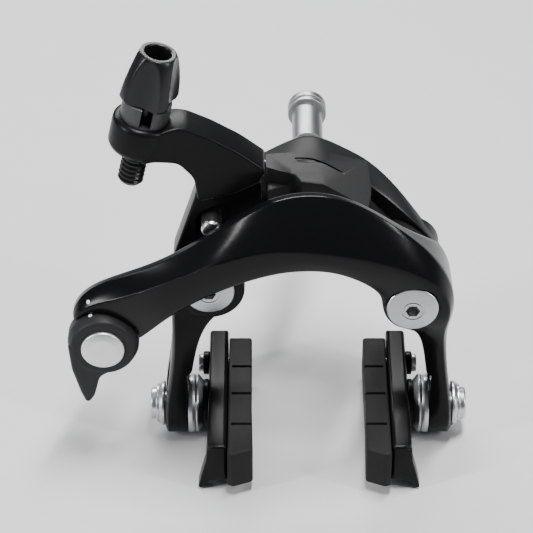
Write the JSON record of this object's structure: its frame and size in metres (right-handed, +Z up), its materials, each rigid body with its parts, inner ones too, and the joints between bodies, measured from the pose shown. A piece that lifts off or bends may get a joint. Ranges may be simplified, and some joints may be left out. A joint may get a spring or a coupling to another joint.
{
  "type": "rim brake caliper",
  "caption": "Dual-pivot side-pull rim brake caliper with a sweeping front arm, barrel adjuster, quick-release lever, recessed mounting bolt and cartridge brake shoes.",
  "frame": {"origin": "the mounting bolt's axis at the rear mounting face, where the caliper meets the fork crown or brake bridge", "axes": "+X to the right seen from the front, +Y back along the mounting bolt towards the frame, +Z up"},
  "size_m": [0.0978, 0.087, 0.1121],
  "materials": {
    "gloss_black": "gloss black paint over forged aluminium",
    "satin_black": "satin black paint",
    "bracket_black": "satin black paint, slightly greyer",
    "lever_grey": "matte dark grey",
    "anodised_black": "black anodised",
    "polished_steel": "turned and polished",
    "zinc_steel": "bright zinc",
    "bronze": "plain",
    "nylon": "moulded",
    "spring_steel": "drawn wire",
    "satin_silver": "satin anodised",
    "pad_rubber": "matte moulded rubber"
  },
  "bodies": {
    "bracket": {"bracket": "bracket_black", "mounting_bolt": "polished_steel", "mounting_washer": "zinc_steel", "left_pivot_bolt": "polished_steel", "right_pivot_bolt": "polished_steel", "left_pivot_bushing": "bronze", "right_pivot_bushing": "bronze", "left_thrust_washer": "nylon", "right_thrust_washer": "nylon", "left_return_spring": "spring_steel", "right_return_spring": "spring_steel", "centering_screw": "polished_steel"},
    "front_arm": {"front_arm": "gloss_black", "right_spring_slider": "nylon"},
    "adjuster_arm": {"adjuster_arm": "satin_black", "equalizer_roller": "polished_steel", "adjuster_sleeve": "nylon", "left_spring_slider": "nylon"},
    "adjuster_barrel": {"adjuster_barrel": "anodised_black"},
    "adjuster_knob": {"adjuster_knob": "anodised_black"},
    "release_lever": {"release_lever": "lever_grey", "anchor_cap": "satin_silver", "cam_shaft": "polished_steel", "cable_clamp_plate": "polished_steel", "cable_clamp_bolt": "polished_steel"},
    "left_shoe_clamp": {"left_shoe_bolt": "polished_steel", "left_outer_washer": "zinc_steel", "left_inner_washer": "zinc_steel"},
    "right_shoe_clamp": {"right_shoe_bolt": "polished_steel", "right_outer_washer": "zinc_steel", "right_inner_washer": "zinc_steel"},
    "left_shoe": {"left_pad_holder": "satin_black", "left_pad": "pad_rubber", "left_pad_screw": "polished_steel", "left_cone_washer": "zinc_steel"},
    "right_shoe": {"right_pad_holder": "satin_black", "right_pad": "pad_rubber", "right_pad_screw": "polished_steel", "right_cone_washer": "zinc_steel"},
    "recessed_nut": {"recessed_nut": "satin_silver"}
  },
  "joints": [
    {"name": "front_arm_pivot", "type": "hinge", "parent": "bracket", "child": "front_arm", "pos_m": [0.0243, -0.031, -0.0087], "axis": [0, 1, 0], "range_deg": [0, 7], "stiffness_Nm_per_rad": 12, "springref_deg": -6.88, "deforming": ["right_return_spring"]},
    {"name": "adjuster_arm_pivot", "type": "hinge", "parent": "bracket", "child": "adjuster_arm", "pos_m": [-0.0243, -0.031, -0.0087], "axis": [0, 1, 0], "range_deg": [-7, 0], "deforming": ["left_return_spring"]},
    {"name": "barrel_travel", "type": "slide", "parent": "adjuster_arm", "child": "adjuster_barrel", "axis": [0.2131, 0, 0.977], "range_m": [0, 0.005]},
    {"name": "knob_turn", "type": "hinge", "parent": "adjuster_barrel", "child": "adjuster_knob", "pos_m": [-0.03663, -0.03, 0.04666], "axis": [0.2131, 0, 0.977], "range_deg": [0, 1441]},
    {"name": "release_lever_turn", "type": "hinge", "parent": "front_arm", "child": "release_lever", "pos_m": [-0.0497, -0.043, -0.0191], "axis": [0, 1, 0], "range_deg": [0, 95]},
    {"name": "left_shoe_height", "type": "slide", "parent": "adjuster_arm", "child": "left_shoe_clamp", "axis": [0, 0, 1], "range_m": [0, 0.01]},
    {"name": "right_shoe_height", "type": "slide", "parent": "front_arm", "child": "right_shoe_clamp", "axis": [0, 0, 1], "range_m": [0, 0.01]},
    {"name": "left_shoe_pitch", "type": "hinge", "parent": "left_shoe_clamp", "child": "left_shoe", "pos_m": [-0.0226, -0.031, -0.049], "axis": [1, 0, 0], "range_deg": [-6, 6]},
    {"name": "right_shoe_pitch", "type": "hinge", "parent": "right_shoe_clamp", "child": "right_shoe", "pos_m": [0.0226, -0.031, -0.049], "axis": [1, 0, 0], "range_deg": [-6, 6]},
    {"name": "nut_withdraw", "type": "slide", "parent": "bracket", "child": "recessed_nut", "axis": [0, 1, 0], "range_m": [0, 0.06]}
  ],
  "couplings": [
    {"joint": "adjuster_arm_pivot", "follows": "front_arm_pivot", "ratio": -1},
    {"joint": "knob_turn", "follows": "barrel_travel", "rad_per_m": 5026.5}
  ]
}
